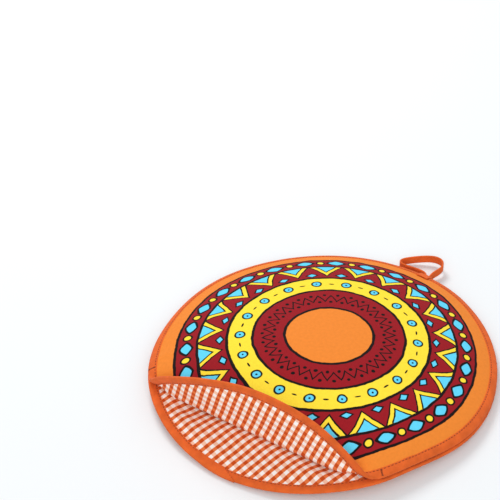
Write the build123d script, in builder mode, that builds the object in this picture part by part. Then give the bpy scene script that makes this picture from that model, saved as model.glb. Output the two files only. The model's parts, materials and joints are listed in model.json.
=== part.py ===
"""Quilted round tortilla warmer: two padded, lined and bound discs joined round most of the rim.

The mouth faces -Y with its lip folded up. The hanging loop is on the far side. Millimetres, +Z up,
origin at the centre of the round, on the surface the warmer lies on.
"""
import os
from math import asin, atan, cos, degrees, pi, radians, sin, sqrt, tan

from build123d import *

os.makedirs("parts", exist_ok=True)

# --- driving dimensions ---
outer_radius = 152.5        # over the binding: a 305 mm (12 in) round
binding_width = 8.0         # how far the folded tape reaches in from the edge
binding_skin = 0.45         # one thickness of the tape
tape_bevel = 1.0            # how much the tape's outer fold is rounded off
raw_radius = 151.0          # cut edge of each quilted disc, inside its tape
edge_play = 0.05            # between the quilted edge and the tape

cover_thickness = 0.5       # printed cotton
wadding_thickness = 2.0     # heat-holding filling
lining_thickness = 0.5      # checked cotton
wadding_depth = cover_thickness + wadding_thickness
panel = wadding_depth + lining_thickness

rim_gap = 0.3               # between the two bound edges, and under the closed lip
seam_radius = 149.2         # line of stitching that joins the two bound edges
seam_width = 1.4
seam_rise = 0.6             # how far the sloping upper tape stands off over the stitching
seam_end = 6.0              # from the fold to the stitching's ends

fold_distance = 103.0       # centre of the round to the line where the lip folds
fold_height = 15.0          # height of that line, where the ends of the mouth lift the rim most
fold_slope = radians(46.5)  # how steeply the upper disc runs down to it
fold_gap = 0.3              # clearance between the fold's nose and the lip
fold_line = -fold_distance
lip_angle = radians(82)     # how far the lip stands up from lying flat

# the rim falls from the ends of the mouth to the far side, where it lies on the surface
stack = 2 * panel + 2 * binding_skin + rim_gap
corner_rise = fold_height - stack
rim_tilt = atan((corner_rise - binding_skin) / (fold_distance + outer_radius))
front_tilt = atan((corner_rise - binding_skin) / (outer_radius - fold_distance))
ramp_start = 109.0          # the lower disc lies flat inside this radius
ramp_slope = radians(14)    # and rises no more steeply than this to its rim
ramp_sides = 16             # the rise is in straight creases
ramp_top = 20.0

# top of the upper disc over its rim: (radius, shift to the mouth, height) of each level round
crown = [(outer_radius, 0, 0), (110, 6, 12.5), (20, 40, 25.5)]
crown_sides = 36            # the cloth runs in straight creases between the levels
crown_skirt = 8.0           # how far the lowest slope is carried on below the rim

loop_bearing = radians(8)   # the loop sits this far off the middle of the far side
loop_width = 34.0           # outside width and depth of the eye of tape
loop_depth = 28.0
loop_corner = 13.0          # and the radius of its bends
loop_tape = 1.6             # the folded tape's thickness
loop_height = 7.5           # and its width
loop_reach = 5.5            # from the loop's pivot to its eye
leg_slope = radians(25)     # how fast the legs widen from the pivot, above and below
leg_start = 0.35            # half their height at the pivot
pivot_gap = 0.7             # from the rim to the pivot

tack_length = 6.6           # bar tacks at the ends of the mouth
tack_width = 2.2
tack_height = 0.7
tack_setback = radians(3.2)  # how far behind the ends of the mouth they lie
tab_length = 10.2           # tab of tape over the loop's base
tab_width = 12.0
tab_height = 1.3

# the fold's nose stops where the tape begins
nose_reach = outer_radius - binding_width - panel
nose_half = sqrt(nose_reach**2 - (fold_distance + panel) ** 2)
front = (Align.CENTER, Align.MAX)
beyond = 400.0              # side of a tool that cuts everything on one side of a line
above = 60.0                # height of a tool that reaches over everything
lap = 2.0                   # how far a tool reaches past what it cuts


def rim_height(y):
    """Height of the lower disc's underside at its rim, at a distance towards the far side."""
    slope = tan(rim_tilt) if y > fold_line else -tan(front_tilt)
    return corner_rise - (y - fold_line) * slope


with BuildPart() as ramp:
    with BuildSketch(Plane.YZ):
        with BuildLine():
            Polyline(
                (outer_radius + lap, -lap),
                (outer_radius + lap, rim_height(outer_radius + lap)),
                (fold_line, corner_rise),
                (-outer_radius - lap, rim_height(-outer_radius - lap)),
                (-outer_radius - lap, -lap),
                close=True,
            )
        make_face()
    extrude(amount=beyond / 2, both=True)
    with BuildSketch(Plane.XY.offset(-lap)):
        RegularPolygon(ramp_start - lap / tan(ramp_slope), ramp_sides, major_radius=False)
    extrude(amount=ramp_top, taper=degrees(ramp_slope) - 90, mode=Mode.SUBTRACT)

def level_round(radius, shift, height):
    """Corners of the many-sided round that the upper disc's creases make at one height over its rim."""
    turns = [2 * pi * i / crown_sides for i in range(crown_sides)]
    corner = radius / cos(pi / crown_sides)
    return [Vector(corner * cos(t), corner * sin(t) - shift, fold_height + height) for t in turns]


(wide, aside, low), (narrow, next_aside, high) = crown[:2]
spread = crown_skirt / (high - low)
skirt = (wide + (wide - narrow) * spread, aside - (next_aside - aside) * spread, -crown_skirt)
levels = [level_round(*level) for level in [skirt] + crown[1:]]
sides = [levels[0][::-1], levels[-1]]
for under, over in zip(levels, levels[1:]):
    for i in range(crown_sides):
        sides.append([under[i - 1], under[i], over[i], over[i - 1]])
dome = Solid(Shell([Face(Wire.make_polygon(corners, close=True)) for corners in sides]))


def over_dish(height, radius):
    """All that lies more than a height over the lower disc's underside, out to a radius."""
    with BuildPart() as body:
        with BuildSketch(Plane.XY.offset(height)):
            Circle(radius)
        extrude(amount=above)
        add(ramp.part.moved(Location((0, 0, height))), mode=Mode.SUBTRACT)
    return body.part


def dish_layer(low, high, radius):
    """Solid between two heights over the lower disc's underside, out to a radius."""
    with BuildPart() as layer:
        add(over_dish(low, radius))
        add(over_dish(high, radius), mode=Mode.SUBTRACT)
    return layer.part


def under_swell(depth, radius, nose):
    """All that lies under the upper disc at a depth, behind the fold and under the slope to it.

    Over the given half length, the nose beyond the fold turns about the fold's axis.
    """
    crease = (fold_line, fold_height)
    with BuildPart() as body:
        add(dome.moved(Location((0, 0, -depth))))
        with BuildSketch(Plane.XY):
            Circle(radius)
            with Locations((0, fold_line)):
                Rectangle(beyond, beyond, align=front, mode=Mode.SUBTRACT)
                if nose:
                    Rectangle(2 * nose, 2 * panel)
        extrude(amount=above, mode=Mode.INTERSECT)
        with BuildSketch(Plane.YZ):
            with Locations(Location(crease, degrees(fold_slope)) * Location((0, -depth))):
                Rectangle(above, above, align=Align.MIN)
            with Locations(crease):
                Rectangle(above, above, align=(Align.MAX, Align.MIN))
                if depth > 0:
                    Circle(depth)
        extrude(amount=beyond / 2, both=True, mode=Mode.SUBTRACT)
    return body.part


def swell_layer(high, low, radius, nose=0):
    """Solid between two depths under the upper disc's top, out to a radius, with its rim level."""
    with BuildPart() as layer:
        add(under_swell(high, radius, nose))
        add(under_swell(low, radius, nose), mode=Mode.SUBTRACT)
    return layer.part


def tipped(piece):
    """A piece of the upper disc tipped about the fold, so that its far rim comes down."""
    return piece.rotate(Axis((0, fold_line, fold_height), (1, 0, 0)), -degrees(rim_tilt))


# --- lower disc ---
with BuildPart() as lower_cover:
    add(dish_layer(0, cover_thickness, raw_radius))
lower_cover.part.label = "lower_cover"

with BuildPart() as lower_wadding:
    add(dish_layer(cover_thickness, wadding_depth, raw_radius))
lower_wadding.part.label = "lower_wadding"

with BuildPart() as lower_lining:
    add(dish_layer(wadding_depth, panel, raw_radius))
lower_lining.part.label = "lower_lining"

with BuildPart() as lower_binding:
    add(dish_layer(-binding_skin, panel + binding_skin, outer_radius))
    with BuildSketch(Plane.XY.offset(-1)):
        Circle(outer_radius - binding_width)
    extrude(amount=above, mode=Mode.SUBTRACT)
    add(dish_layer(-edge_play, panel + edge_play, raw_radius + edge_play), mode=Mode.SUBTRACT)
lower_binding.part.label = "lower_binding"

# --- upper disc, from the far rim to the fold ---
with BuildPart() as upper_cover:
    add(tipped(swell_layer(0, cover_thickness, raw_radius, nose_half)))
upper_cover.part.label = "upper_cover"

with BuildPart() as upper_wadding:
    add(tipped(swell_layer(cover_thickness, wadding_depth, raw_radius, nose_half)))
upper_wadding.part.label = "upper_wadding"

with BuildPart() as upper_lining:
    add(tipped(swell_layer(wadding_depth, panel, raw_radius, nose_half)))
upper_lining.part.label = "upper_lining"

# the upper tape's ring, its outer corners bevelled
tape_inner = outer_radius - binding_width
tape_high = fold_height + binding_skin - tape_bevel
tape_low = fold_height - panel - binding_skin + tape_bevel

with BuildPart() as level_tape:
    add(swell_layer(-binding_skin, panel + binding_skin, outer_radius))
    with BuildSketch(Plane.XZ):
        with BuildLine():
            Polyline(
                (outer_radius, tape_low),
                (outer_radius, tape_high),
                (tape_inner, tape_high + binding_width),
                (tape_inner, tape_low - binding_width),
                close=True,
            )
        make_face()
    revolve(axis=Axis.Z, mode=Mode.INTERSECT)
    add(swell_layer(-edge_play, panel + edge_play, raw_radius + edge_play), mode=Mode.SUBTRACT)

with BuildPart() as upper_binding:
    add(tipped(level_tape.part))
upper_binding.part.label = "upper_binding"

with BuildPart() as under_rim:
    with BuildSketch(Plane.XY):
        Circle(outer_radius)
        with Locations((0, fold_line + seam_end)):
            Rectangle(beyond, beyond, align=front, mode=Mode.SUBTRACT)
    extrude(amount=fold_height - panel - binding_skin + seam_rise)

with BuildPart() as rim_seam:
    add(tipped(under_rim.part))
    add(over_dish(panel + binding_skin, seam_radius + seam_width / 2), mode=Mode.INTERSECT)
    with BuildSketch(Plane.XY):
        Circle(seam_radius - seam_width / 2)
    extrude(amount=above, mode=Mode.SUBTRACT)
rim_seam.part.label = "rim_seam"

# --- lip: the rest of the upper disc, turned up about the fold ---
lip_face = Vector(0, -sin(lip_angle), -cos(lip_angle))
lip_plane = Plane(origin=(0, fold_line, fold_height), x_dir=(1, 0, 0), z_dir=lip_face)


def lip_layer(high, low, radius):
    """Flat half-moon between two depths under the lip's top, with a hollow end round the nose."""
    with BuildPart() as layer:
        with BuildSketch(lip_plane.offset(high)):
            with Locations((0, -fold_distance)):
                Circle(radius)
            Rectangle(beyond, beyond, align=front, mode=Mode.SUBTRACT)
        extrude(amount=low - high)
        with Locations(lip_plane):
            Cylinder(max(low, panel) + fold_gap, beyond, rotation=(0, 90, 0), mode=Mode.SUBTRACT)
    return layer.part


with BuildPart() as lip_cover:
    add(lip_layer(0, cover_thickness, raw_radius))
lip_cover.part.label = "lip_cover"

with BuildPart() as lip_wadding:
    add(lip_layer(cover_thickness, wadding_depth, raw_radius))
lip_wadding.part.label = "lip_wadding"

with BuildPart() as lip_lining:
    add(lip_layer(wadding_depth, panel, raw_radius))
lip_lining.part.label = "lip_lining"

with BuildPart() as lip_binding:
    add(lip_layer(-binding_skin, panel + binding_skin, outer_radius))
    with BuildSketch(lip_plane.offset(-2 * panel)):
        with Locations((0, -fold_distance)):
            Circle(outer_radius - binding_width)
    extrude(amount=4 * panel, mode=Mode.SUBTRACT)
    chamfer(lip_binding.edges().sort_by(SortBy.LENGTH)[-2:], tape_bevel)
    with BuildSketch(lip_plane.offset(-edge_play)):
        with Locations((0, -fold_distance)):
            Circle(raw_radius + edge_play)
    extrude(amount=panel + 2 * edge_play, mode=Mode.SUBTRACT)
lip_binding.part.label = "lip_binding"

# --- stitching and tape on the rim ---
tack_angle = asin(fold_distance / outer_radius) - tack_setback
tack_reach = outer_radius - binding_width / 2
tack_spot = (tack_reach * cos(tack_angle), -tack_reach * sin(tack_angle))

with BuildPart() as level_tacks:
    add(swell_layer(-binding_skin - tack_height, -binding_skin, outer_radius))
    with BuildSketch(Plane.XY):
        with Locations(Location(tack_spot, -degrees(tack_angle))):
            Rectangle(tack_length, tack_width)
        mirror(about=Plane.YZ)
    extrude(amount=above, mode=Mode.INTERSECT)

with BuildPart() as corner_tacks:
    add(tipped(level_tacks.part))
corner_tacks.part.label = "corner_tacks"

outward = Vector(sin(loop_bearing), cos(loop_bearing), 0)
along = Vector(cos(loop_bearing), -sin(loop_bearing), 0)
tab_place = Plane(origin=outward * (outer_radius - tab_length / 2), x_dir=along, z_dir=(0, 0, 1))

with BuildPart() as level_tab:
    add(swell_layer(-binding_skin - tab_height, -binding_skin, outer_radius))
    with BuildSketch(tab_place):
        Rectangle(tab_width, tab_length)
    extrude(amount=above, mode=Mode.INTERSECT)

with BuildPart() as loop_tab:
    add(tipped(level_tab.part))
loop_tab.part.label = "loop_tab"

# --- hanging loop, on edge, with its pivot in the seam between the bound edges ---
pivot_height = rim_height(outward.Y * outer_radius) + panel + binding_skin + rim_gap / 2
pivot = outward * (outer_radius + pivot_gap) + Vector(0, 0, pivot_height)
loop_plane = Plane(origin=pivot, x_dir=along, z_dir=(0, 0, 1))
leg_rise = leg_start + loop_reach * tan(leg_slope)

with BuildPart() as hanging_loop:
    with BuildSketch(loop_plane.offset(-loop_height / 2)):
        with Locations((0, loop_reach + loop_depth / 2)):
            RectangleRounded(loop_width, loop_depth, loop_corner)
            offset(amount=-loop_tape, mode=Mode.SUBTRACT)
        Rectangle(2 * loop_tape, loop_reach + loop_tape / 2, align=(Align.CENTER, Align.MIN))
    extrude(amount=loop_height)
    # the legs narrow towards the pivot, so that the loop can swing between the edges
    with BuildSketch(Plane(origin=pivot, x_dir=outward, z_dir=-along)):
        with BuildLine():
            Polyline(
                (0, leg_start),
                (loop_reach, leg_rise),
                (loop_reach, loop_height),
                (0, loop_height),
                close=True,
            )
        make_face()
        mirror(about=Plane.XZ)
    extrude(amount=loop_width, both=True, mode=Mode.SUBTRACT)
hanging_loop.part.label = "hanging_loop"

export_step(lower_cover.part, "parts/lower_cover.step")
export_step(lower_wadding.part, "parts/lower_wadding.step")
export_step(lower_lining.part, "parts/lower_lining.step")
export_step(lower_binding.part, "parts/lower_binding.step")
export_step(upper_cover.part, "parts/upper_cover.step")
export_step(upper_wadding.part, "parts/upper_wadding.step")
export_step(upper_lining.part, "parts/upper_lining.step")
export_step(upper_binding.part, "parts/upper_binding.step")
export_step(rim_seam.part, "parts/rim_seam.step")
export_step(lip_cover.part, "parts/lip_cover.step")
export_step(lip_wadding.part, "parts/lip_wadding.step")
export_step(lip_lining.part, "parts/lip_lining.step")
export_step(lip_binding.part, "parts/lip_binding.step")
export_step(corner_tacks.part, "parts/corner_tacks.step")
export_step(loop_tab.part, "parts/loop_tab.step")
export_step(hanging_loop.part, "parts/hanging_loop.step")
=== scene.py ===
"""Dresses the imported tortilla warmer: quilted cloth, bound edges, stitching, hanging loop and a plain stage.

Lengths are millimetres until a mesh is finished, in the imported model's frame: +Z up, mouth at -Y, loop
at +Y. Each quilted piece starts as a flat round, as it was cut, and one formula then bends it to shape.
"""
import json
import math

import bmesh
import bpy
import numpy as np
from mathutils import Matrix, Vector


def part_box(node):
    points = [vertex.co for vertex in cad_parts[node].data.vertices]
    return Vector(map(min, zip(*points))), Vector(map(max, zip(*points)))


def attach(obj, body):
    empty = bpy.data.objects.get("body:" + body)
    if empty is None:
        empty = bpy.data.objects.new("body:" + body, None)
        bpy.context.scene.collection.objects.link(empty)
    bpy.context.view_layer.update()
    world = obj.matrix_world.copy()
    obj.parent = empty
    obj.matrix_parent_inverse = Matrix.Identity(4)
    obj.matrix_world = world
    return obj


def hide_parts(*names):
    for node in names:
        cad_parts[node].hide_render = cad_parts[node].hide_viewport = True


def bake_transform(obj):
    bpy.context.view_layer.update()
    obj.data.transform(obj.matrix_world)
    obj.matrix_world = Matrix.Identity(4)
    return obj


bl_info = {
    "name": "Tortilla warmer",
    "version": (1, 0, 0),
    "blender": (4, 5, 0),
    "location": "3D View > Sidebar > Warmer",
    "description": "Builds the soft parts of a round quilted tortilla warmer round its packed model",
    "category": "Object",
}

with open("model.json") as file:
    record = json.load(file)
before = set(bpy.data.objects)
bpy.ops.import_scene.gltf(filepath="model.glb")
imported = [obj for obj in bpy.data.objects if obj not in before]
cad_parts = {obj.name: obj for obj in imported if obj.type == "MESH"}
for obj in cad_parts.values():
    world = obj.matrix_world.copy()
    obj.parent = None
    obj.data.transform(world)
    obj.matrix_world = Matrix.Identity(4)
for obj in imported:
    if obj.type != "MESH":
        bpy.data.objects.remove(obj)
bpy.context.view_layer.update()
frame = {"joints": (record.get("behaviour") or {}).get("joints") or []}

MM = 0.001
UV_SPAN = 400.0             # millimetres of flat cloth across the UV square

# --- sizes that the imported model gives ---
outer_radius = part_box("lower_binding")[1].x / MM
raw_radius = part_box("lower_cover")[1].x / MM
lining_thickness = 0.5
panel = (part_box("lower_lining")[0].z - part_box("lower_cover")[0].z) / MM + lining_thickness
lip_joint = next(j for j in frame["joints"] if j["name"] == "lip_fold")
loop_joint = next(j for j in frame["joints"] if j["name"] == "loop_swing")
fold_line = lip_joint["pos_m"][1] / MM
fold_height = lip_joint["pos_m"][2] / MM
loop_bearing = math.atan2(loop_joint["pos_m"][0], loop_joint["pos_m"][1])
tape_width = 8.0
tape_inner = outer_radius - tape_width


def linear(code):
    """Linear red, green and blue of an sRGB hex colour."""
    parts = [int(code[i:i + 2], 16) / 255 for i in (1, 3, 5)]
    return tuple(c / 12.92 if c <= 0.04045 else ((c + 0.055) / 1.055) ** 2.4 for c in parts)


def colour_setting(name, description, code):
    """A colour that a user would change, with its default as a hex value."""
    return bpy.props.FloatVectorProperty(
        name=name, description=description, subtype="COLOR", size=3, min=0.0, max=1.0, default=linear(code)
    )


class WarmerSizes(bpy.types.PropertyGroup):
    """Sizes of the soft forms that a user would change, in millimetres."""

    crown: bpy.props.FloatProperty(
        name="Crown", description="How far the upper round swells over its rim",
        default=27.0, min=5.0, max=40.0,
    )
    lean: bpy.props.FloatProperty(
        name="Lean", description="How far the crown leans to the mouth", default=2.1, min=0.0, max=8.0
    )
    lip_angle: bpy.props.FloatProperty(
        name="Lip angle", description="How far the lip stands up from flat, in degrees",
        default=82.0, min=0.0, max=90.0,
    )
    corner_lift: bpy.props.FloatProperty(
        name="Corner lift", description="How far the rim lifts at the ends of the mouth",
        default=9.0, min=0.0, max=12.0,
    )
    stitch_length: bpy.props.FloatProperty(
        name="Stitch", description="Length of one stitch", default=2.6, min=1.5, max=5.0
    )


class WarmerColours(bpy.types.PropertyGroup):
    """Colours of the cloth, tape and thread."""

    ground: colour_setting("Ground", "Orange ground of the printed cotton", "#EE8832")
    red: colour_setting("Dark red", "Dark red bands of the print", "#981620")
    yellow: colour_setting("Yellow", "Yellow ring and motifs of the print", "#FFE13C")
    cyan: colour_setting("Light blue", "Light blue motifs of the print", "#62D6F8")
    ink: colour_setting("Ink", "Outlines of the print", "#170F10")
    tape: colour_setting("Tape", "Folded cotton tape", "#E2662A")
    # painted shade: the thread is set darker than the tape, partly its own dye and partly the shade of the
    # groove along the tape's inner edge
    thread: colour_setting("Thread", "Sewing thread", "#96401A")
    check_light: colour_setting("Check, undyed", "Check where both yarns are undyed", "#FFFCF8")
    check_weft: colour_setting("Check, dyed weft", "Check where only the weft is dyed", "#FBCCB2")
    check_warp: colour_setting("Check, dyed warp", "Check where only the warp is dyed", "#EA7A40")
    check_dark: colour_setting("Check, dyed", "Check where both yarns are dyed", "#CF5018")


# --- the forms of the two rounds ---
def smooth(value, low, high):
    """0 below low, 1 above high, and a smooth rise between."""
    t = np.clip((value - low) / (high - low), 0.0, 1.0)
    return t * t * (3 - 2 * t)


def bump(value, centre, width):
    """A bell of height 1."""
    return np.exp(-(((value - centre) / width) ** 2))


def around(angle, centre, width):
    """A bell round a bearing, in degrees."""
    return np.exp(-((((angle - centre + 180) % 360 - 180) / width) ** 2))


corner_bearing = math.degrees(math.atan2(-fold_line, math.sqrt(outer_radius**2 - fold_line**2)))
right_corner = 360 - corner_bearing
left_corner = 180 + corner_bearing
quilt = 3.8                 # thickness of the quilted cloth
edge_thickness = 3.5        # one bound edge
edge_filling = 2.2          # the quilted edge inside it
tape_stand = (edge_thickness - edge_filling) / 2


def rim_lift(angle):
    """How high the lower tape's underside is: the rim lifts at the ends of the mouth."""
    lift = bpy.context.scene.warmer_sizes.corner_lift
    bent = lift * np.maximum(around(angle, right_corner, 30), around(angle, left_corner, 30))
    behind = outer_radius * np.sin(np.radians(angle)) - fold_line
    straight = np.clip(lift * (1 - behind / (outer_radius - fold_line)), 0, lift)
    return 0.3 + bent + 0.5 * (straight - bent) * smooth(behind, 0, 12)


def rim_pull(angle):
    """How far the rim is drawn in: the open mouth and the swell draw it in on both sides."""
    by_mouth = 4.8 * around(angle, right_corner + 17, 16) + 5.2 * around(angle, left_corner - 32, 24)
    return 2.6 * around(angle, 72, 18) - 4.2 * around(angle, 140, 30) - by_mouth - 1.0


def in_plan(u, v):
    """Where a point of the flat round lies in plan."""
    angle = np.degrees(np.arctan2(v, u)) % 360
    share = np.hypot(u, v) / outer_radius
    pull = rim_pull(angle) / outer_radius * share**5
    return u * (1 + pull), v + v * pull * smooth(v, fold_line, fold_line + 30)


def wrinkles(u, v):
    """Low puckers where the tape draws the cloth in, and slow waves over the rest."""
    angle = np.arctan2(v, u)
    degrees = np.degrees(angle) % 360
    radius = np.hypot(u, v)
    near_tape = smooth(radius, 122, 141) * (1 - smooth(radius, 143, 146))
    fine = 0.5 * np.sin(61 * angle + 2.0 * np.sin(5 * angle)) + 0.5 * np.sin(37 * angle + 1.3)
    deep = around(degrees, right_corner + 12, 12) + 0.5 * around(degrees, left_corner - 8, 8)
    slow = np.sin(u / 23 + 0.6 * np.sin(v / 31)) * np.sin(v / 19 + 1.1)
    return near_tape * fine * (0.35 + 2.0 * deep) + 0.28 * slow * (1 - smooth(radius, 130, 145))


def swell(u, v):
    """Height of the upper round's cover behind the fold."""
    sizes = bpy.context.scene.warmer_sizes
    angle = np.degrees(np.arctan2(v, u)) % 360
    share = np.clip(np.hypot(u, v) / outer_radius, 0, 1)
    rim = rim_lift(angle) + 2 * edge_thickness - tape_stand
    base = 10.5 + (rim - 10.5) * share**4
    inside = 1 - share**2
    height = base + sizes.crown * inside**0.8 - sizes.lean * np.tanh(v / 30) * inside**0.5
    height = height + wrinkles(u, v)
    run_down = fold_height + (v - fold_line) * 1.02
    soften = np.maximum(7.0 - np.abs(height - run_down), 0) / 7.0
    return np.minimum(height, run_down) - soften**2 * 7.0 / 4


def lip_tilt(u):
    """How far the lip stands up from flat: its left end leans over more than its right."""
    return np.radians(bpy.context.scene.warmer_sizes.lip_angle + 8 * np.tanh((u + 22) / 35))


def upper_skin(u, v):
    """The upper round's cover: swelling behind the fold, a standing lip beyond it."""
    tilt = lip_tilt(u)
    # the bend is tight across the mouth and rounder where it runs out to the tape at both ends
    spread = 0.8 * (1 + 2.4 * smooth(-u, 84, 112) + 4.2 * smooth(u, 70, 112))
    total = 0
    for step, weight in ((-3, 1), (-2, 3), (-1, 6), (0, 7), (1, 6), (2, 3), (3, 1)):
        behind = np.maximum(v + step * spread, fold_line)
        reach = np.maximum(fold_line - v - step * spread, 0)
        # the swell has carried the middle of the cloth over it a little towards the loop
        share = np.clip(np.hypot(u, behind) / outer_radius, 0, 1)
        carried = (1 - share**4) * smooth(behind, fold_line, fold_line + 30)
        across, along = u + 2.6 * carried, behind + 6.6 * carried
        x, y = in_plan(across, along)
        z = swell(across, along)
        wave = 0.9 * np.sin(u / 17 + 0.8) * smooth(reach, 8, 40)
        y = y - reach * np.cos(tilt) - wave * np.sin(tilt)
        z = z + reach * np.sin(tilt) - wave * np.cos(tilt)
        total = total + np.stack([x, y, z], axis=-1) * weight / 27
    return total


def filled(u, v, soft_nose):
    """Thickness of the quilted cloth: thin inside the tape, full elsewhere, fuller at the fold."""
    radius = np.hypot(u, v)
    full = quilt + soft_nose * 2.0 * bump(v, fold_line, 6) * (1 - smooth(np.abs(u), 75, 100))
    return full + (edge_filling - full) * smooth(radius, 135, 145)


def through(depth, thickness):
    """Depth in the finished cloth of a depth in the flat one; the tape's own skins keep theirs."""
    inside = np.clip(depth, 0, panel)
    return inside * thickness / panel + depth - inside


def place_upper(flat):
    """Bends points of the flat upper round, given as across, along and depth under the cover."""
    u, v, depth = flat.T
    skin = upper_skin(u, v)
    step = 0.4
    along_u = upper_skin(u + step, v) - upper_skin(u - step, v)
    along_v = upper_skin(u, v + step) - upper_skin(u, v - step)
    normal = np.cross(along_u, along_v)
    normal = normal / np.linalg.norm(normal, axis=1, keepdims=True)
    return skin - normal * through(depth, filled(u, v, 1.0))[:, None]


def place_lower(flat):
    """Bends points of the flat lower round, given as across, along and height over its cover."""
    u, v, height = flat.T
    x, y = in_plan(u, v)
    angle = np.degrees(np.arctan2(v, u)) % 360
    radius = np.hypot(u, v)
    inside_tape = 1 - smooth(radius, 132, 146)
    roll = 7.4 * bump(v, fold_line - 7, 18) * np.clip(1 - (u / 118) ** 2, 0, 1) * inside_tape
    # the closed lip presses a hollow into it towards both ends of the fold
    left_hollow = 0.9 * bump(u, -74, 25) * bump(v, fold_line - 10, 13)
    right_hollow = 0.7 * bump(u, 76, 15) * bump(v, fold_line - 5, 8)
    roll = roll * (1 - left_hollow - right_hollow)
    underside = (rim_lift(angle) + tape_stand) * smooth(radius, 106, 148) + 0.55 * roll
    ripple = wrinkles(u, v) * smooth(height, 0, panel)
    z = underside + through(height, filled(u, v, 0.0) + 0.45 * roll) + ripple * 0.7
    return np.stack([x, y, z], axis=-1)


# --- making pieces ---
def spun(profile, steps):
    """A bmesh of a profile of (radius, depth) points, closed, spun round the middle of the round."""
    bm = bmesh.new()
    points = [bm.verts.new((radius, 0, depth)) for radius, depth in profile]
    edges = [bm.edges.new(pair) for pair in zip(points, points[1:] + points[:1])]
    bmesh.ops.spin(
        bm, geom=points + edges, cent=(0, 0, 0), axis=(0, 0, 1), angle=math.tau, steps=steps, use_merge=True
    )
    bmesh.ops.remove_doubles(bm, verts=bm.verts, dist=0.001)
    flat_faces = [f for f in bm.faces if f.calc_area() < 1e-9]
    bmesh.ops.delete(bm, geom=flat_faces, context="FACES_ONLY")
    loose = [e for e in bm.edges if not e.link_faces]
    bmesh.ops.delete(bm, geom=loose, context="EDGES")
    bmesh.ops.recalc_face_normals(bm, faces=bm.faces)
    return bm


def piece_from(bm, name, place, cloth_turn=0.0):
    """Makes the object. Its UV map keeps where each point lay on the flat cloth."""
    mesh = bpy.data.meshes.new(name)
    bmesh.ops.triangulate(bm, faces=[f for f in bm.faces if len(f.verts) > 4])
    bm.to_mesh(mesh)
    bm.free()
    flat = np.zeros(len(mesh.vertices) * 3)
    mesh.vertices.foreach_get("co", flat)
    flat = flat.reshape(-1, 3)
    corners = np.zeros(len(mesh.loops), np.int32)
    mesh.loops.foreach_get("vertex_index", corners)
    cos, sin = math.cos(cloth_turn), math.sin(cloth_turn)
    turn = np.array([[cos, sin], [-sin, cos]])
    cloth = flat[:, :2] @ turn.T / UV_SPAN + 0.5
    mesh.uv_layers.new(name="flat_cloth").data.foreach_set("uv", cloth[corners].ravel())
    mesh.vertices.foreach_set("co", (place(flat) * MM).ravel())
    mesh.polygons.foreach_set("use_smooth", [True] * len(mesh.polygons))
    mesh.update()
    piece = bpy.data.objects.new(name, mesh)
    bpy.context.scene.collection.objects.link(piece)
    return piece


def fold_with_lip(piece):
    """Bakes the transform of a piece of the upper round into its mesh; the direction across the fold that it
    works out is not used.
    """
    tilt = math.radians(bpy.context.scene.warmer_sizes.lip_angle)
    across = Vector((0, -math.cos(math.pi / 4) - math.cos(tilt), math.sin(tilt) - math.sin(math.pi / 4)))
    across.normalize()
    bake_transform(piece)


def crease_rows(bm):
    """Cuts straight rows along the fold, so that the cloth bends there in clean lines."""
    for row in range(-12, 13):
        bmesh.ops.bisect_plane(
            bm, geom=bm.verts[:] + bm.edges[:] + bm.faces[:], dist=0.15,
            plane_co=(0, fold_line + row * 0.75, 0), plane_no=(0, 1, 0),
        )


def round_cloth(name, low, high, rings, steps, place, cloth_turn):
    """A closed round of cloth and filling between two depths of the flat quilted piece."""
    radii = [raw_radius * i / rings for i in range(rings + 1)]
    profile = [(r, low) for r in radii] + [(r, high) for r in reversed(radii)]
    bm = spun(profile, steps)
    crease_rows(bm)
    return piece_from(bm, name, place, cloth_turn)


# --- materials ---
def add_node(tree, kind, inputs=(), out=0, **settings):
    """Adds a node, fills its inputs with sockets or values by position, and returns one output."""
    node = tree.nodes.new(kind)
    for key, value in settings.items():
        setattr(node, key, value)
    pairs = inputs.items() if isinstance(inputs, dict) else enumerate(inputs)
    for key, value in pairs:
        if isinstance(value, bpy.types.NodeSocket):
            tree.links.new(value, node.inputs[key])
        else:
            node.inputs[key].default_value = value
    return node.outputs[out]


MATHS = "ShaderNodeMath"
MIX = "ShaderNodeMix"


def new_material(name):
    """An empty node material with its output."""
    material = bpy.data.materials.new(name)
    material.use_nodes = True
    tree = material.node_tree
    tree.nodes.clear()
    return material, tree


def finish_material(tree, colour, height, depth, roughness, sheen):
    """A matt woven surface: its colour, its bump and a little fibre sheen."""
    normal = add_node(tree, "ShaderNodeBump", {"Strength": 1.0, "Distance": depth * MM, "Height": height})
    surface = add_node(
        tree,
        "ShaderNodeBsdfPrincipled",
        {
            "Base Color": colour,
            "Roughness": roughness,
            "Specular IOR Level": 0.1,
            "Sheen Weight": sheen,
            "Sheen Roughness": 0.5,
            "Normal": normal,
        },
    )
    output = tree.nodes.new("ShaderNodeOutputMaterial")
    tree.links.new(surface, output.inputs["Surface"])


def cloth_place(tree):
    """Millimetres across and along the flat cloth, from its middle."""
    uv = add_node(tree, "ShaderNodeUVMap", uv_map="flat_cloth")
    centred = add_node(tree, "ShaderNodeVectorMath", (uv, (0.5, 0.5, 0.0)), operation="SUBTRACT")
    return add_node(tree, "ShaderNodeVectorMath", {0: centred, "Scale": UV_SPAN}, operation="SCALE")


def object_place(tree):
    """Millimetres in the object's own frame."""
    place = add_node(tree, "ShaderNodeTexCoord", out=3)
    return add_node(tree, "ShaderNodeVectorMath", {0: place, "Scale": 1 / MM}, operation="SCALE")


def weave(tree, place, spacing):
    """Height of a plain weave: yarns that pass over and under each other, one per spacing."""
    parts = add_node(tree, "ShaderNodeSeparateXYZ", (place,))
    waves = []
    for axis in (0, 1):
        turns = add_node(tree, MATHS, (parts.node.outputs[axis], math.pi / spacing), operation="MULTIPLY")
        waves.append(add_node(tree, MATHS, (turns,), operation="SINE"))
    return add_node(tree, MATHS, waves, operation="MULTIPLY")


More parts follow.
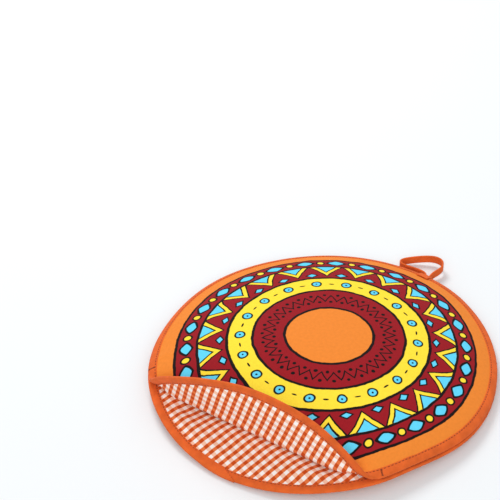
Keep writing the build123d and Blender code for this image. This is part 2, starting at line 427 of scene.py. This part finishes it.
def below(tree, value, limit, blur=0.25):
    """1 where value is under limit, 0 over it, with an edge as soft as printed ink."""
    gap = add_node(tree, MATHS, (limit, value), operation="SUBTRACT")
    return add_node(tree, MATHS, (gap, 1 / blur, 0.5), operation="MULTIPLY_ADD", use_clamp=True)


def paint(tree, under, over, mask):
    """Lays one colour over another where the mask is 1."""
    return add_node(tree, MIX, {0: mask, 6: under, 7: over}, out=2, data_type="RGBA")


def shade_by(tree, colour, value, span, shares):
    """Multiplies a colour by a share that follows a value over its span."""
    limits = dict(enumerate((*span, *shares), start=1))
    share = add_node(tree, "ShaderNodeMapRange", {0: value, **limits})
    return add_node(
        tree, MIX, {0: 1.0, 6: colour, 7: share}, out=2, data_type="RGBA", blend_type="MULTIPLY"
    )


NOISE_SPAN = (0.3, 0.7)     # where nearly all of a noise texture's values lie


def cotton_print():
    """Printed cotton: reactive ink on a fine plain weave, matt, with crisp dark outlines."""
    colours = bpy.context.scene.warmer_colours
    material, tree = new_material("cotton_print")
    place = cloth_place(tree)
    drift = add_node(tree, "ShaderNodeTexNoise", {"Vector": place, "Scale": 0.11, "Detail": 2.0}, out=1)
    drift = add_node(tree, "ShaderNodeVectorMath", (drift, (0.5, 0.5, 0.5)), operation="SUBTRACT")
    drift = add_node(tree, "ShaderNodeVectorMath", {0: drift, "Scale": 2.2}, operation="SCALE")
    wobbly = add_node(tree, "ShaderNodeVectorMath", (place, drift), operation="ADD")
    flat = add_node(tree, "ShaderNodeVectorMath", (wobbly, (1.0, 1.0, 0.0)), operation="MULTIPLY")
    radius = add_node(tree, "ShaderNodeVectorMath", (flat,), out=1, operation="LENGTH")
    parts = add_node(tree, "ShaderNodeSeparateXYZ", (flat,))
    angle = add_node(tree, MATHS, (parts.node.outputs[1], parts.node.outputs[0]), operation="ARCTAN2")

    def repeat(count, middle, shift=0.0):
        """Place in the nearest of a ring of equal cells: along the ring and out from its middle."""
        turns = add_node(tree, MATHS, (angle, count / math.tau, shift), operation="MULTIPLY_ADD")
        cell = add_node(tree, MATHS, (turns, 1.0, 0.0), operation="WRAP")
        cell = add_node(tree, MATHS, (cell, 0.5), operation="SUBTRACT")
        along = add_node(tree, MATHS, (cell, math.tau * middle / count), operation="MULTIPLY")
        out = add_node(tree, MATHS, (radius, middle), operation="SUBTRACT")
        return along, out

    def size_of(along, out, length, height, power):
        """Distance from a motif's middle, 1 at its outline: 1 for a lozenge, 2 for an oval."""
        terms = []
        for value, half in ((along, length), (out, height)):
            part = add_node(tree, MATHS, (value, 1 / half), operation="MULTIPLY")
            part = add_node(tree, MATHS, (part,), operation="ABSOLUTE")
            terms.append(add_node(tree, MATHS, (part, power), operation="POWER"))
        total = add_node(tree, MATHS, terms, operation="ADD")
        return add_node(tree, MATHS, (total, 1 / power), operation="POWER")

    def zigzag(count, middle, height, shift=0.0):
        """Distance out from a zigzag line round the ring."""
        along, out = repeat(count, middle, shift)
        fold = add_node(tree, MATHS, (along,), operation="ABSOLUTE")
        slope = 2 * height / (math.pi * middle / count)
        line = add_node(tree, MATHS, (fold, slope, -height), operation="MULTIPLY_ADD")
        return add_node(tree, MATHS, (out, line), operation="SUBTRACT")

    def motif(colour, size, layers, blur):
        """Lays a motif's colours over each other, from its outline in."""
        for limit, fill in layers:
            colour = paint(tree, colour, fill, below(tree, size, limit, blur))
        return colour

    ground = (*colours.ground, 1.0)
    red = (*colours.red, 1.0)
    yellow = (*colours.yellow, 1.0)
    cyan = (*colours.cyan, 1.0)
    ink = (*colours.ink, 1.0)

    # plain bands, from the outside in
    colour = ground
    for limit, band in (
        (131.4, ink), (129.0, red), (113.6, ink), (110.9, red), (88.9, ink), (86.3, yellow),
        (66.9, ink), (64.5, red), (39.5, ink), (36.9, ground),
    ):
        colour = paint(tree, colour, band, below(tree, radius, limit))

    # outer band: light blue lozenges with yellow dots between
    along, out = repeat(26, 121.6)
    size = size_of(along, out, 9.8, 6.3, 1.35)
    colour = motif(colour, size, ((1.0, ink), (0.7, cyan)), 0.05)
    along, out = repeat(26, 121.6, 0.5)
    size = size_of(along, out, 4.4, 4.4, 2.0)
    colour = motif(colour, size, ((1.0, ink), (0.62, yellow)), 0.08)

    # points: yellow triangles standing on the outer line, light blue ones inside them
    count = 22
    line = zigzag(count, 100.2, 10.2)
    away = add_node(tree, MATHS, (line, -1.0), operation="MULTIPLY")
    band_edges = (below(tree, radius, 111.2), below(tree, radius, 88.6))
    in_band = add_node(tree, MATHS, band_edges, operation="SUBTRACT", use_clamp=True)
    for limit, band in ((-0.6, ink), (-2.9, yellow), (-8.2, ink), (-10.4, cyan)):
        mask = add_node(tree, MATHS, (below(tree, away, limit), in_band), operation="MULTIPLY")
        colour = paint(tree, colour, band, mask)
    along, out = repeat(count, 93.4, 0.5)
    size = size_of(along, out, 6.6, 4.2, 1.0)
    colour = motif(colour, size, ((1.0, ink), (0.62, cyan)), 0.08)

    # yellow ring: light blue discs with small dashes between
    along, out = repeat(18, 76.6)
    size = size_of(along, out, 4.8, 4.8, 2.0)
    colour = motif(colour, size, ((1.0, ink), (0.68, cyan), (0.2, ink)), 0.08)
    along, out = repeat(18, 76.6, 0.5)
    size = size_of(along, out, 2.6, 0.8, 2.0)
    colour = motif(colour, size, ((1.0, ink),), 0.3)

    # dark red ring: a zigzag line with dots on both sides of it
    line = zigzag(30, 52.4, 4.4)
    away = add_node(tree, MATHS, (line,), operation="ABSOLUTE")
    colour = paint(tree, colour, ink, below(tree, away, 1.15))
    for middle, shift in ((57.4, 0.0), (47.4, 0.5)):
        along, out = repeat(30, middle, shift)
        size = size_of(along, out, 1.6, 1.6, 2.0)
        colour = motif(colour, size, ((1.0, ink),), 0.2)

    # the ink takes a little unevenly, by a few percent over a few millimetres
    mottle = add_node(tree, "ShaderNodeTexNoise", {"Vector": place, "Scale": 0.35, "Detail": 3.0})
    colour = shade_by(tree, colour, mottle, NOISE_SPAN, (0.95, 1.03))
    # yarns 0.35 mm apart are too fine to see, so they are drawn 0.9 mm apart
    finish_material(tree, colour, weave(tree, place, 0.9), 0.05, 0.82, 0.04)
    return material


def cotton_gingham():
    """Gingham: undyed and dyed yarns in equal stripes both ways, which cross in three tones, matt."""
    colours = bpy.context.scene.warmer_colours
    material, tree = new_material("cotton_gingham")
    place = cloth_place(tree)
    parts = add_node(tree, "ShaderNodeSeparateXYZ", (place,))
    stripes = []
    check = 3.5             # width of one check
    for axis in (0, 1):
        turns = add_node(tree, MATHS, (parts.node.outputs[axis], 0.5 / check), operation="MULTIPLY")
        cell = add_node(tree, MATHS, (turns, 1.0, 0.0), operation="WRAP")
        cell = add_node(tree, MATHS, (cell, 0.5), operation="SUBTRACT")
        cell = add_node(tree, MATHS, (cell,), operation="ABSOLUTE")
        stripes.append(below(tree, cell, 0.25, 0.05))
    # the warp lies on top more, so its dyed stripes show more strongly than the weft's
    undyed_warp = paint(tree, (*colours.check_light, 1.0), (*colours.check_weft, 1.0), stripes[1])
    dyed_warp = paint(tree, (*colours.check_warp, 1.0), (*colours.check_dark, 1.0), stripes[1])
    colour = paint(tree, undyed_warp, dyed_warp, stripes[0])
    yarns = weave(tree, place, 0.7)
    # painted shade: the check darkens a little where the weave's yarns lie low and lightens where they ride
    # high, following the bump
    colour = shade_by(tree, colour, yarns, (-1.0, 1.0), (0.95, 1.02))
    # yarns 0.3 mm apart are too fine to see, so they are drawn 0.7 mm apart
    finish_material(tree, colour, yarns, 0.06, 0.88, 0.04)
    return material


def cotton_tape():
    """Folded cotton bias tape: its weave runs at 45 degrees, with a soft sheen and slight unevenness."""
    colours = bpy.context.scene.warmer_colours
    material, tree = new_material("cotton_tape")
    place = object_place(tree)
    mottle = add_node(tree, "ShaderNodeTexNoise", {"Vector": place, "Scale": 0.12, "Detail": 4.0})
    colour = shade_by(tree, (*colours.tape, 1.0), mottle, NOISE_SPAN, (0.84, 1.08))
    # pulled threads and crumples where the tape turns round the edge
    crumple = add_node(tree, "ShaderNodeTexNoise", {"Vector": place, "Scale": 0.45, "Detail": 3.0})
    finish_material(tree, colour, crumple, 0.5, 0.8, 0.06)
    return material


def sewing_thread():
    """Spun polyester sewing thread: darker than the tape, partly its own dye and partly painted shade of the
    groove it lies in, twisted, with a dull gloss.
    """
    colours = bpy.context.scene.warmer_colours
    material, tree = new_material("sewing_thread")
    twist = add_node(tree, "ShaderNodeTexNoise", {"Vector": object_place(tree), "Scale": 1.6, "Detail": 2.0})
    # painted shade: the colour follows the same noise as the bump, darker where the twist lies low and lighter
    # where it stands high
    colour = shade_by(tree, (*colours.thread, 1.0), twist, NOISE_SPAN, (0.75, 1.1))
    finish_material(tree, colour, twist, 0.1, 0.6, 0.1)
    return material


def material_named(name):
    """The scene's material of that name, made the first time it is asked for."""
    makers = {
        "cotton_print": cotton_print,
        "cotton_gingham": cotton_gingham,
        "cotton_tape": cotton_tape,
        "sewing_thread": sewing_thread,
    }
    return bpy.data.materials.get(name) or makers[name]()


def dress(piece, material):
    """Gives a piece its material."""
    piece.data.materials.append(material_named(material))


# --- operators: one for each piece or group of like pieces ---
class WARMER_OT_lower_round(bpy.types.Operator):
    """Make the lower quilted round: printed cover below, checked lining above"""

    bl_idname = "warmer.lower_round"
    bl_label = "Lower round"

    def execute(self, context):
        cover = round_cloth("lower_cover_cloth", 0, panel / 2, 50, 240, place_lower, 0.0)
        dress(cover, "cotton_print")
        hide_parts("lower_cover", "lower_wadding")
        lining = round_cloth("lower_lining_cloth", panel / 2, panel, 60, 288, place_lower, math.radians(-19))
        dress(lining, "cotton_gingham")
        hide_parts("lower_lining")
        for piece in (cover, lining):
            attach(piece, "pouch")
        return {"FINISHED"}


class WARMER_OT_upper_round(bpy.types.Operator):
    """Make the upper quilted round, which swells, runs down to the fold and stands up as the lip"""

    bl_idname = "warmer.upper_round"
    bl_label = "Upper round and lip"

    def execute(self, context):
        cover = round_cloth("upper_cover_cloth", 0, panel / 2, 68, 300, place_upper, 0.0)
        dress(cover, "cotton_print")
        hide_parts("upper_cover", "upper_wadding", "lip_cover", "lip_wadding")
        lining = round_cloth("upper_lining_cloth", panel / 2, panel, 64, 288, place_upper, math.radians(20))
        dress(lining, "cotton_gingham")
        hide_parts("upper_lining", "lip_lining")
        for piece in (cover, lining):
            fold_with_lip(piece)
        return {"FINISHED"}


def tape_profile():
    """Section of the tape folded over the quilted edge, as (radius, depth): a bead with a sewn-down step."""
    near = [
        (tape_inner, -0.05), (tape_inner + 0.1, -0.4), (tape_inner + 0.7, -0.42), (tape_inner + 1.3, -0.3),
        (tape_inner + 2.0, -0.5), (tape_inner + 3.4, -0.68), (tape_inner + 5.2, -0.65),
        (outer_radius - 1.2, -0.45), (outer_radius - 0.35, 0.1), (outer_radius, panel * 0.3),
    ]
    far = [(r, panel - depth) for r, depth in reversed(near)]
    clear = 0.02            # between the tape and the cloth in it
    edge = raw_radius + 0.1
    hollow = [(tape_inner, panel + clear), (edge, panel + clear), (edge, -clear), (tape_inner, -clear)]
    return near + far + hollow


tape_end = 269.0            # bearing of the lower tape's lapped end, at its inner edge
tape_end_skew = 5.4         # how much farther round it is at the outer edge


def add_tape_end(bm):
    """The last stretch of the lower tape, lapped over its beginning, with an end cut at a slant."""
    reach, lap = 16.0, 0.55
    ring = set(bm.verts)
    points = [bm.verts.new((radius, 0, depth)) for radius, depth in tape_profile()]
    edges = [bm.edges.new(pair) for pair in zip(points, points[1:] + points[:1])]
    bmesh.ops.spin(
        bm, geom=points + edges, cent=(0, 0, 0), axis=(0, 0, 1), angle=math.radians(reach), steps=32
    )
    bmesh.ops.holes_fill(bm, edges=[e for e in bm.edges if e.is_boundary])
    for v in set(bm.verts) - ring:
        radius, angle = math.hypot(v.co.x, v.co.y), math.atan2(v.co.y, v.co.x)
        stand = lap * float(smooth(math.degrees(angle), 0, 7)) - 0.1
        side = 1 if v.co.z > panel / 2 else -1
        depth = v.co.z + side * stand
        out = (radius - tape_inner) / tape_width
        radius += stand * (1.0 if out > 0.9 else -0.8 if out < 0.15 else 0)
        angle += math.radians(tape_end - reach + tape_end_skew * out)
        v.co = (radius * math.cos(angle), radius * math.sin(angle), depth)
    bmesh.ops.recalc_face_normals(bm, faces=bm.faces)


def add_stitch(bm, half_sizes, place, turn=0.0):
    """Adds one stitch, a long bead, at a place that is then turned round the middle of the cloth."""
    made = bmesh.ops.create_icosphere(bm, subdivisions=1, radius=1.0)["verts"]
    bmesh.ops.scale(bm, vec=half_sizes, verts=made)
    bmesh.ops.translate(bm, vec=place, verts=made)
    bmesh.ops.rotate(bm, cent=(0, 0, 0), matrix=Matrix.Rotation(turn, 3, "Z"), verts=made)


def repeat_round(bm, angle, steps):
    """Copies all that is in the mesh round the middle of the cloth."""
    bmesh.ops.spin(
        bm, geom=bm.verts[:] + bm.edges[:] + bm.faces[:], cent=(0, 0, 0), axis=(0, 0, 1),
        angle=angle, steps=steps, use_duplicate=True,
    )


class WARMER_OT_binding(bpy.types.Operator):
    """Fold cotton tape over the edges of both rounds"""

    bl_idname = "warmer.binding"
    bl_label = "Binding"

    def execute(self, context):
        ring = spun(tape_profile(), 480)
        add_tape_end(ring)
        lower = piece_from(ring, "lower_binding_tape", place_lower)
        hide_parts("lower_binding")
        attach(lower, "pouch")
        upper = piece_from(spun(tape_profile(), 480), "upper_binding_tape", place_upper)
        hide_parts("upper_binding", "lip_binding")
        fold_with_lip(upper)
        for piece in (lower, upper):
            dress(piece, "cotton_tape")
        bm = bmesh.new()
        for i in range(5):
            out = 1.0 + 1.35 * i
            bearing = math.radians(tape_end + tape_end_skew * out / tape_width)
            add_stitch(bm, (0.6, 0.3, 0.24), (tape_inner + out, -0.7, panel + 1.0), bearing)
        join = piece_from(bm, "tape_join_stitches", place_lower)
        dress(join, "sewing_thread")
        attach(join, "pouch")
        return {"FINISHED"}


def stitch_row(name, depth, place):
    """A ring of short stitches sunk in the tape near its inner edge."""
    length = bpy.context.scene.warmer_sizes.stitch_length
    gap = 0.6
    radius = tape_inner + 1.3
    count = round(math.tau * radius / (length + gap))
    bm = bmesh.new()
    add_stitch(bm, (0.45, length / 2, 0.3), (radius, 0, depth))
    repeat_round(bm, math.tau * (count - 1) / count, count - 1)
    return piece_from(bm, name, place)


class WARMER_OT_stitching(bpy.types.Operator):
    """Sew the tapes down with a row of stitches on each face"""

    bl_idname = "warmer.stitching"
    bl_label = "Tape stitching"

    def execute(self, context):
        for name, depth, place in (
            ("lower_cover_stitches", -0.3, place_lower),
            ("lower_lining_stitches", panel + 0.3, place_lower),
            ("upper_cover_stitches", -0.3, place_upper),
            ("upper_lining_stitches", panel + 0.3, place_upper),
        ):
            row = stitch_row(name, depth, place)
            dress(row, "sewing_thread")
            if place is place_upper:
                fold_with_lip(row)
            else:
                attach(row, "pouch")
        return {"FINISHED"}


class WARMER_OT_corner_tacks(bpy.types.Operator):
    """Sew a bar of dense stitches at each end of the mouth"""

    bl_idname = "warmer.corner_tacks"
    bl_label = "Corner tacks"

    def execute(self, context):
        stitches, width, spacing = 9, 2.2, 0.65
        bm = bmesh.new()
        for corner in (right_corner + 3.4, left_corner - 3.4):
            for i in range(stitches):
                reach = tape_inner + 1.6 + i * spacing
                add_stitch(bm, (0.36, width / 2, 0.2), (reach, 0, -0.62), math.radians(corner))
        tacks = piece_from(bm, "corner_tack_stitches", place_upper)
        dress(tacks, "sewing_thread")
        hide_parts("corner_tacks")
        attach(tacks, "pouch")
        return {"FINISHED"}


class WARMER_OT_rim_seam(bpy.types.Operator):
    """Sew the two bound edges together behind the mouth"""

    bl_idname = "warmer.rim_seam"
    bl_label = "Rim seam"

    def execute(self, context):
        radius = outer_radius - 2.6
        start = math.radians(right_corner - 360 + 4)
        sweep = math.radians(360 - (right_corner - left_corner) - 8)
        count = 150
        bm = bmesh.new()
        add_stitch(bm, (0.4, sweep * radius / count / 2.2, 0.4), (radius, 0, panel + tape_stand), start)
        repeat_round(bm, sweep, count)
        seam = piece_from(bm, "rim_seam_stitches", place_lower)
        dress(seam, "sewing_thread")
        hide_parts("rim_seam")
        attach(seam, "pouch")
        return {"FINISHED"}


def loop_path():
    """Plan of the loop as it lies, flopped over along the rim: an eye of tape as (across, out)."""
    return [
        (0.9, -6.0), (0.9, 0.5), (0.2, 4.0), (0.6, 9.0), (2.2, 14.0), (2.4, 20.0), (-1.5, 25.0), (-8.0, 26.2),
        (-15.0, 23.6), (-23.0, 17.6), (-30.5, 10.6), (-34.6, 5.6), (-33.4, 2.4), (-27.0, 2.2), (-19.0, 3.6),
        (-10.0, 4.6), (-3.4, 3.6), (-0.9, 0.5), (-0.9, -6.0),
    ]


def round_off(bm, width):
    """Rounds the sharp edges of a strip of tape."""
    bmesh.ops.recalc_face_normals(bm, faces=bm.faces)
    rims = [e for e in bm.edges if len(e.link_faces) == 2 and e.calc_face_angle() > 1.0]
    bmesh.ops.bevel(bm, geom=rims, offset=width, affect="EDGES", segments=2, profile=0.5, material=-1)


class WARMER_OT_hanging_loop(bpy.types.Operator):
    """Make the loop of folded tape and the tab that covers its base"""

    bl_idname = "warmer.hanging_loop"
    bl_label = "Hanging loop"

    def execute(self, context):
        curve = bpy.data.curves.new("loop_line", "CURVE")
        curve.dimensions = "3D"
        spline = curve.splines.new("NURBS")
        route = loop_path()
        spline.points.add(len(route) - 1)
        for point, (x, y) in zip(spline.points, route):
            point.co = (x, y, 0, 1)
        spline.order_u = 4
        spline.use_endpoint_u = True
        spline.resolution_u = 8
        line = bpy.data.objects.new("loop_line", curve)
        drawn = bpy.data.meshes.new_from_object(line)
        bpy.data.objects.remove(line)
        bm = bmesh.new()
        bm.from_mesh(drawn)
        bpy.data.meshes.remove(drawn)
        height, thick = 7.6, 1.5
        rise = bmesh.ops.extrude_edge_only(bm, edges=bm.edges[:])["geom"]
        upper_edge = [g for g in rise if isinstance(g, bmesh.types.BMVert)]
        bmesh.ops.translate(bm, vec=(0, 0, height), verts=upper_edge)
        bmesh.ops.translate(bm, vec=(0, 0, -height / 2), verts=bm.verts)
        upright = [e for e in bm.edges if abs(e.verts[0].co.z - e.verts[1].co.z) > 1]
        bmesh.ops.subdivide_edges(bm, edges=upright, cuts=5)
        bmesh.ops.solidify(bm, geom=bm.faces[:], thickness=thick)
        round_off(bm, 0.5)

        def place_loop(flat):
            """Sets the loop against the rim at its bearing, tilted a little as it lies."""
            across, out, up = flat.T
            base = outer_radius - 0.5
            height_here = 5.2 + up + 0.10 * out + 0.05 * across
            x = (base + out) * math.sin(loop_bearing) + across * math.cos(loop_bearing)
            y = (base + out) * math.cos(loop_bearing) - across * math.sin(loop_bearing)
            return np.stack([x, y, height_here], axis=-1)

        loop = piece_from(bm, "hanging_loop_tape", place_loop)
        dress(loop, "cotton_tape")
        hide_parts("hanging_loop")
        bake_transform(loop)

        bm = bmesh.new()
        bmesh.ops.create_grid(bm, x_segments=12, y_segments=12, size=0.5)
        bmesh.ops.scale(bm, vec=(12, 10, 1), verts=bm.verts)
        bmesh.ops.solidify(bm, geom=bm.faces[:], thickness=0.9)
        round_off(bm, 0.35)
        top = max(v.co.z for v in bm.verts)
        bmesh.ops.translate(bm, vec=(-2, outer_radius - 5.4, -0.75 - top), verts=bm.verts)
        turn = Matrix.Rotation(-loop_bearing, 3, "Z")
        bmesh.ops.rotate(bm, cent=(0, 0, 0), matrix=turn, verts=bm.verts)
        tab = piece_from(bm, "loop_tab_tape", place_upper)
        dress(tab, "cotton_tape")
        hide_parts("loop_tab")
        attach(tab, "pouch")
        return {"FINISHED"}


class WARMER_OT_stage(bpy.types.Operator):
    """Lay the pale floor, hang the lamps and set the camera"""

    bl_idname = "warmer.stage"
    bl_label = "Stage"

    def execute(self, context):
        bm = bmesh.new()
        bmesh.ops.create_grid(bm, x_segments=1, y_segments=1, size=6.0)
        mesh = bpy.data.meshes.new("floor")
        bm.to_mesh(mesh)
        bm.free()
        floor = bpy.data.objects.new("floor", mesh)
        context.scene.collection.objects.link(floor)
        material, tree = new_material("white_floor")
        sight = add_node(tree, "ShaderNodeLightPath")
        rays = [sight.node.outputs[kind] for kind in ("Is Camera Ray", "Is Glossy Ray")]
        seen = add_node(tree, MATHS, rays, operation="MAXIMUM")
        plain = add_node(tree, "ShaderNodeBsdfDiffuse", {"Color": (0.82, 0.85, 0.87, 1)})
        glow = add_node(tree, "ShaderNodeEmission", {"Color": (1, 1, 1, 1), "Strength": 0.03})
        both = add_node(tree, "ShaderNodeAddShader", (plain, glow))
        surface = add_node(tree, "ShaderNodeMixShader", (seen, plain, both))
        tree.links.new(surface, tree.nodes.new("ShaderNodeOutputMaterial").inputs["Surface"])
        mesh.materials.append(material)

        world = bpy.data.worlds.new("pale_room")
        context.scene.world = world
        world.use_nodes = True
        world.node_tree.nodes["Background"].inputs["Color"].default_value = (1, 1, 1, 1)
        world.node_tree.nodes["Background"].inputs["Strength"].default_value = 0.6

        for name, place, size, power in (
            ("key_lamp", (-1.0, 0.7, 1.3), 0.7, 15.0),
            ("fill_lamp", (0.8, -1.3, 1.2), 1.4, 14.0),
        ):
            lamp = bpy.data.lights.new(name, "AREA")
            lamp.size = size
            lamp.energy = power
            holder = bpy.data.objects.new(name, lamp)
            holder.location = place
            holder.rotation_euler = (-Vector(place)).to_track_quat("-Z", "Y").to_euler()
            context.scene.collection.objects.link(holder)

        azimuth, elevation, distance = math.radians(32), math.radians(43.3), 1.2
        half_frame, focal_length = 250, 1373    # in pixels
        camera = bpy.data.cameras.new("camera")
        camera.sensor_fit = "HORIZONTAL"
        camera.angle = 2 * math.atan(half_frame / focal_length)
        camera.shift_x = -0.1452
        camera.shift_y = 0.2378
        holder = bpy.data.objects.new("camera", camera)
        level = math.cos(elevation)
        sight_line = Vector((math.sin(azimuth) * level, -math.cos(azimuth) * level, math.sin(elevation)))
        holder.location = sight_line * distance
        holder.rotation_euler = (-holder.location).to_track_quat("-Z", "Y").to_euler()
        context.scene.collection.objects.link(holder)
        context.scene.camera = holder
        context.scene.view_settings.view_transform = "Standard"
        return {"FINISHED"}


OPERATORS = (
    WARMER_OT_lower_round,
    WARMER_OT_upper_round,
    WARMER_OT_binding,
    WARMER_OT_stitching,
    WARMER_OT_corner_tacks,
    WARMER_OT_rim_seam,
    WARMER_OT_hanging_loop,
    WARMER_OT_stage,
)


class WARMER_PT_panel(bpy.types.Panel):
    """Lists the warmer's settings and the steps that build it"""

    bl_label = "Tortilla warmer"
    bl_idname = "WARMER_PT_panel"
    bl_space_type = "VIEW_3D"
    bl_region_type = "UI"
    bl_category = "Warmer"

    def draw(self, context):
        for settings in (context.scene.warmer_sizes, context.scene.warmer_colours):
            for name in settings.__annotations__:
                self.layout.prop(settings, name)
        for step in OPERATORS:
            self.layout.operator(step.bl_idname)


CLASSES = (WarmerSizes, WarmerColours, *OPERATORS, WARMER_PT_panel)


def register():
    """Adds the classes and the scene's settings."""
    for item in CLASSES:
        bpy.utils.register_class(item)
    bpy.types.Scene.warmer_sizes = bpy.props.PointerProperty(type=WarmerSizes)
    bpy.types.Scene.warmer_colours = bpy.props.PointerProperty(type=WarmerColours)


def unregister():
    """Takes the settings and the classes away again."""
    del bpy.types.Scene.warmer_sizes
    del bpy.types.Scene.warmer_colours
    for item in reversed(CLASSES):
        bpy.utils.unregister_class(item)


def main():
    """Registers the add-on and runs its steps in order."""
    register()
    for step in OPERATORS:
        group, name = step.bl_idname.split(".")
        getattr(getattr(bpy.ops, group), name)()


if __name__ == "__main__":
    main()
